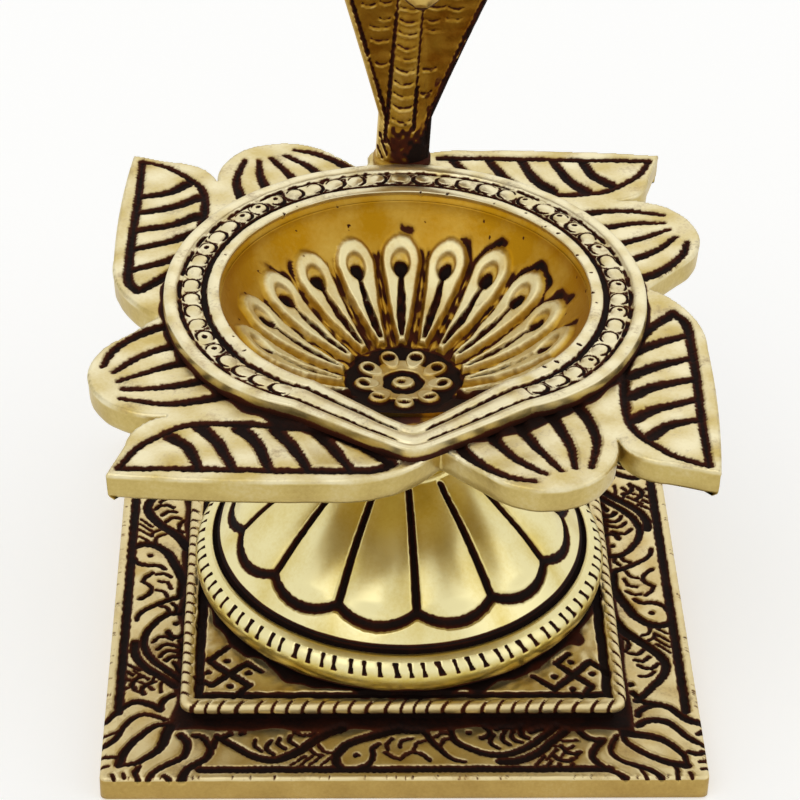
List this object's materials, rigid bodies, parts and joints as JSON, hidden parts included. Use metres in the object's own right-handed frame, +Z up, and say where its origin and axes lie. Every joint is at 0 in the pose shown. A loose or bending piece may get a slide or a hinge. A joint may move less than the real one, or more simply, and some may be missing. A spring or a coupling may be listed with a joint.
{
  "type": "naga hood lamp",
  "caption": "Cast brass oil lamp: square base and plinth, lotus dome, calyx, pinwheel lotus tray, drop-shaped fluted bowl with a spout, and a cobra hood behind.",
  "frame": {"origin": "centre of the underside of the square base, on the floor", "axes": "+Z up, -Y towards the spout of the bowl, +X to the right as seen from the spout"},
  "size_m": [0.0776, 0.0776, 0.1013],
  "materials": {
    "base_brass": "cast, polished high spots with dark patina in the engraving",
    "dome_brass": "polished",
    "tray_brass": "polished flats with dark patina in the carving",
    "bowl_brass": "old gold, satin",
    "naga_brass": "old gold with red-brown patina",
    "fastener_brass": "turned, satin"
  },
  "bodies": {
    "root": {"base_plate": "base_brass", "plinth": "base_brass", "pedestal_dome": "dome_brass", "calyx": "dome_brass", "petal_tray": "tray_brass", "oil_bowl": "bowl_brass", "naga_hood": "naga_brass", "naga_washer": "fastener_brass", "naga_nut": "fastener_brass", "tie_screw": "fastener_brass"}
  },
  "joints": []
}
